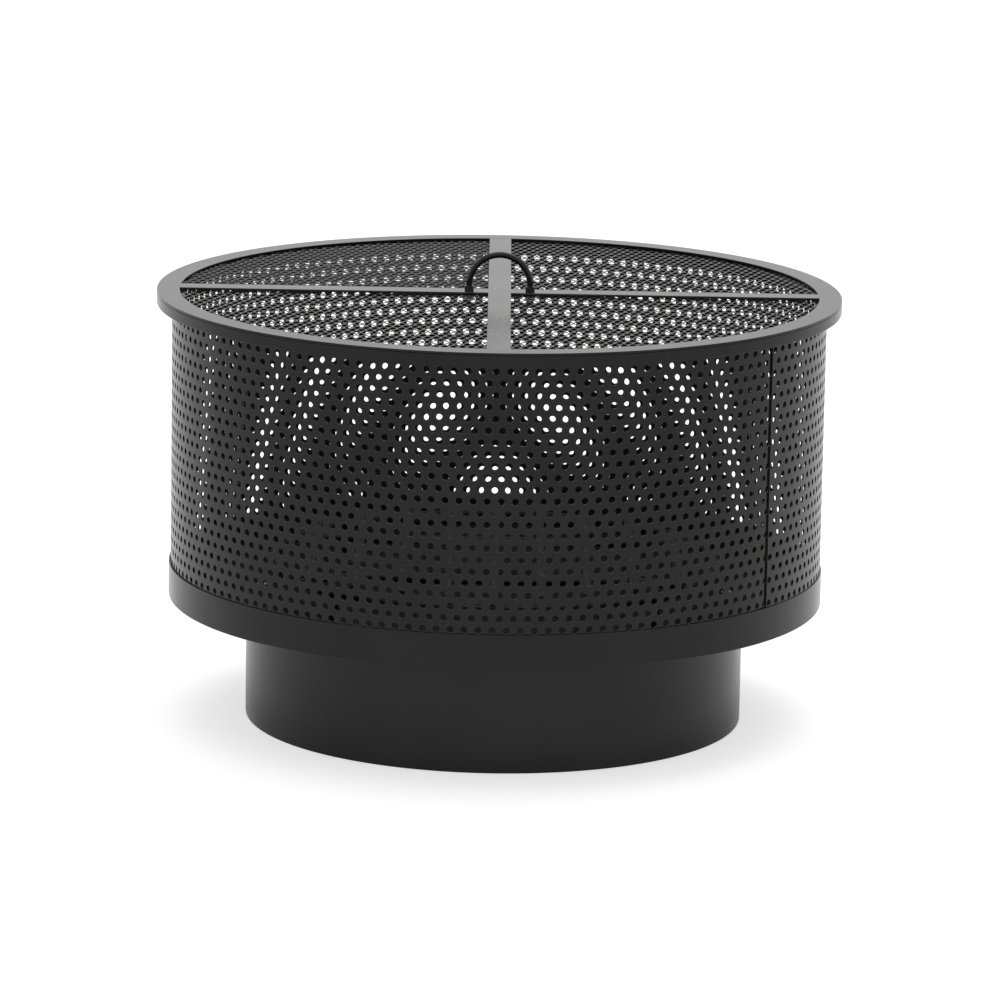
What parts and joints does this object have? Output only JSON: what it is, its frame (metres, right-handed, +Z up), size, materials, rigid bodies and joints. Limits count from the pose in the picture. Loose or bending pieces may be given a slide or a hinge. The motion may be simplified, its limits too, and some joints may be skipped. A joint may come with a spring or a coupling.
{
  "type": "fire pit",
  "caption": "Round fire pit: perforated steel drum on a solid plinth, with a lift-off mesh spark lid on flat bars, a half-loop handle and a fuel grate inside.",
  "frame": {"origin": "centre of the circle that the plinth's hem rests on, at floor level", "axes": "+Z up through the drum's axis; -Y is the front, seen in the picture; +X is to its right, along the bar that carries the handle"},
  "size_m": [0.6, 0.6, 0.4125],
  "materials": {
    "satin_black_paint": "satin heat-resistant black paint over sheet and flat bar",
    "net_paint": "thin satin black paint over expanded steel mesh",
    "grate_paint": "matt black high-temperature paint over round bar",
    "zinc_plated_fasteners": "zinc plate"
  },
  "bodies": {
    "fire_drum": {"base_ring": "satin_black_paint", "base_bolt_1": "zinc_plated_fasteners", "base_bolt_2": "zinc_plated_fasteners", "base_bolt_3": "zinc_plated_fasteners", "base_bolt_4": "zinc_plated_fasteners", "base_washer_1": "zinc_plated_fasteners", "base_washer_2": "zinc_plated_fasteners", "base_washer_3": "zinc_plated_fasteners", "base_washer_4": "zinc_plated_fasteners", "base_nut_1": "zinc_plated_fasteners", "base_nut_2": "zinc_plated_fasteners", "base_nut_3": "zinc_plated_fasteners", "base_nut_4": "zinc_plated_fasteners", "fire_pan": "satin_black_paint", "perforated_wall": "satin_black_paint", "rim_ring": "satin_black_paint"},
    "spark_lid": {"lid_ring": "satin_black_paint", "long_cross_bar": "satin_black_paint", "left_cross_bar": "satin_black_paint", "right_cross_bar": "satin_black_paint", "spark_net": "net_paint", "net_hoop": "satin_black_paint", "lid_handle": "satin_black_paint", "handle_top_nut_1": "satin_black_paint", "handle_top_nut_2": "satin_black_paint", "handle_washer_1": "zinc_plated_fasteners", "handle_washer_2": "zinc_plated_fasteners", "handle_lower_nut_1": "zinc_plated_fasteners", "handle_lower_nut_2": "zinc_plated_fasteners"},
    "fuel_grate": {"grate_ring": "grate_paint", "grate_bar_1": "grate_paint", "grate_bar_2": "grate_paint", "grate_bar_3": "grate_paint", "grate_bar_4": "grate_paint", "grate_bar_5": "grate_paint", "grate_bar_6": "grate_paint", "grate_bar_7": "grate_paint", "grate_bar_8": "grate_paint", "grate_bar_9": "grate_paint", "grate_front_tie": "grate_paint", "grate_rear_tie": "grate_paint", "grate_leg_1": "grate_paint", "grate_leg_2": "grate_paint", "grate_leg_3": "grate_paint", "grate_leg_4": "grate_paint"}
  },
  "joints": [
    {"name": "lid_lift", "type": "slide", "parent": "fire_drum", "child": "spark_lid", "axis": [0, 0, 1], "range_m": [0, 0.25]},
    {"name": "grate_lift", "type": "slide", "parent": "fire_drum", "child": "fuel_grate", "axis": [0, 0, 1], "range_m": [0, 0.2]}
  ]
}
